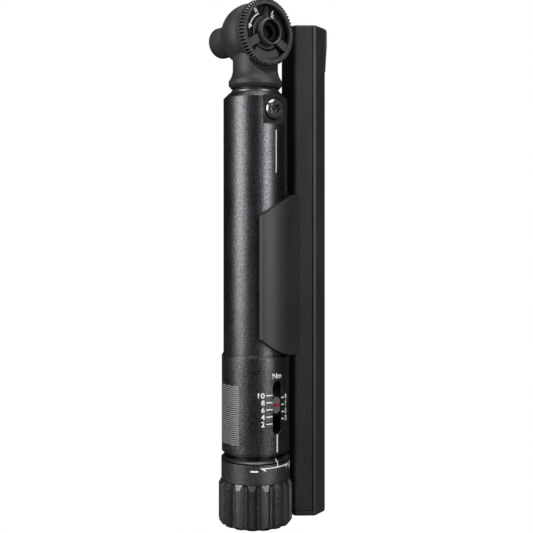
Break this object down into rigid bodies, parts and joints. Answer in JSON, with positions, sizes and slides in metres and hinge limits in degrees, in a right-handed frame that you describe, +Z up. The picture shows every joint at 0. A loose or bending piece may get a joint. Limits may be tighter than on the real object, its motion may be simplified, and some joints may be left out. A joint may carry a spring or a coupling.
{
  "type": "click torque wrench",
  "caption": "Small ratcheting click-type torque wrench with a torque scale, fluted adjusting knob, hex bit socket and a clip-on bit case that swivels and opens.",
  "frame": {"origin": "centre of the knob's end face, on the handle's axis", "axes": "+Z up along the handle to the head; -Y out of the scale window and the direction wheel; +Y out of the bit socket; the bit case lies towards +X"},
  "size_m": [0.0437, 0.0371, 0.1949],
  "materials": {
    "black_anodised": "bead-blasted, black anodised",
    "knob_anodised": "machined flutes, black anodised",
    "head_black": "satin black finish on forged steel",
    "socket_black": "satin black finish on steel",
    "wheel_black": "satin black cast wheel",
    "plate_black": "black plate with white direction marks",
    "black_screw": "black oxide",
    "bolt_steel": "bright zinc-nickel plate",
    "tool_steel": "ground",
    "spring_steel": "drawn wire, oiled",
    "bit_steel": "satin nickel",
    "magnet_nickel": "nickel plate",
    "bronze_bush": "machined",
    "indicator_plastic": "light grey with a red line",
    "seal_rubber": "smooth and glossy",
    "case_plastic": "fine spark-eroded texture",
    "tray_plastic": "moulded"
  },
  "bodies": {
    "handle": {"handle_tube": "black_anodised", "scale_sleeve": "black_anodised", "end_bearing": "bronze_bush", "neck_seal": "seal_rubber", "pivot_bolt": "bolt_steel", "main_spring": "spring_steel", "plunger": "tool_steel", "click_block": "tool_steel", "knob_detent_balls": "tool_steel", "knob_detent_springs": "spring_steel"},
    "knob": {"knob": "knob_anodised", "knob_cap": "knob_anodised", "knob_screw": "black_screw", "adjusting_screw": "tool_steel", "thrust_washer": "bronze_bush", "screw_circlip": "spring_steel"},
    "carriage": {"spring_carriage": "bronze_bush", "torque_indicator": "indicator_plastic"},
    "head": {"head_housing": "head_black", "pivot_bush": "bronze_bush", "direction_plate": "plate_black", "pawl_pin": "tool_steel", "pawl_detent_ball": "tool_steel", "pawl_detent_spring": "spring_steel"},
    "drive": {"drive_socket": "socket_black", "ratchet_gear": "tool_steel", "bit_magnet": "magnet_nickel", "wheel_screw": "black_screw"},
    "wheel": {"direction_wheel": "wheel_black"},
    "pawl": {"pawl": "tool_steel"},
    "case": {"case_base": "case_plastic", "cover_hinge_pin": "bolt_steel", "bit_tray": "tray_plastic", "bit_hex_2": "bit_steel", "bit_hex_2_5": "bit_steel", "bit_hex_3": "bit_steel", "bit_hex_4": "bit_steel", "bit_hex_5": "bit_steel", "bit_hex_6": "bit_steel", "bit_star": "bit_steel"},
    "cover": {"case_cover": "case_plastic"}
  },
  "joints": [
    {"name": "knob_turn", "type": "hinge", "parent": "handle", "child": "knob", "pos_m": [0, 0, 0], "axis": [0, 0, 1], "range_deg": [-1800, 1080]},
    {"name": "carriage_slide", "type": "slide", "parent": "handle", "child": "carriage", "axis": [0, 0, 1], "range_m": [-0.00626, 0.00376], "deforming": ["main_spring"]},
    {"name": "head_click", "type": "hinge", "parent": "handle", "child": "head", "pos_m": [0, 0, 0.1535], "axis": [0, 1, 0], "range_deg": [-2.5, 2.5], "stiffness_Nm_per_rad": 10},
    {"name": "drive_spin", "type": "hinge", "parent": "head", "child": "drive", "pos_m": [0, 0, 0.1824], "axis": [0, 1, 0], "continuous": true},
    {"name": "wheel_turn", "type": "hinge", "parent": "head", "child": "wheel", "pos_m": [0, 0, 0.1824], "axis": [0, 1, 0], "range_deg": [-18, 18]},
    {"name": "pawl_rock", "type": "hinge", "parent": "head", "child": "pawl", "pos_m": [0, 0, 0.1744], "axis": [0, 1, 0], "range_deg": [-6.05, 6.05]},
    {"name": "case_swivel", "type": "hinge", "parent": "handle", "child": "case", "pos_m": [0, 0, 0.09], "axis": [0, 0, 1], "range_deg": [-200, 42]},
    {"name": "cover_open", "type": "hinge", "parent": "case", "child": "cover", "pos_m": [0.01585, -0.00181, 0.00097], "axis": [0.1132, 0.9936, 0], "range_deg": [0, 100]}
  ],
  "couplings": [
    {"joint": "carriage_slide", "follows": "knob_turn", "m_per_rad": 0.00019894},
    {"joint": "pawl_rock", "follows": "wheel_turn", "ratio": 0.33333}
  ]
}
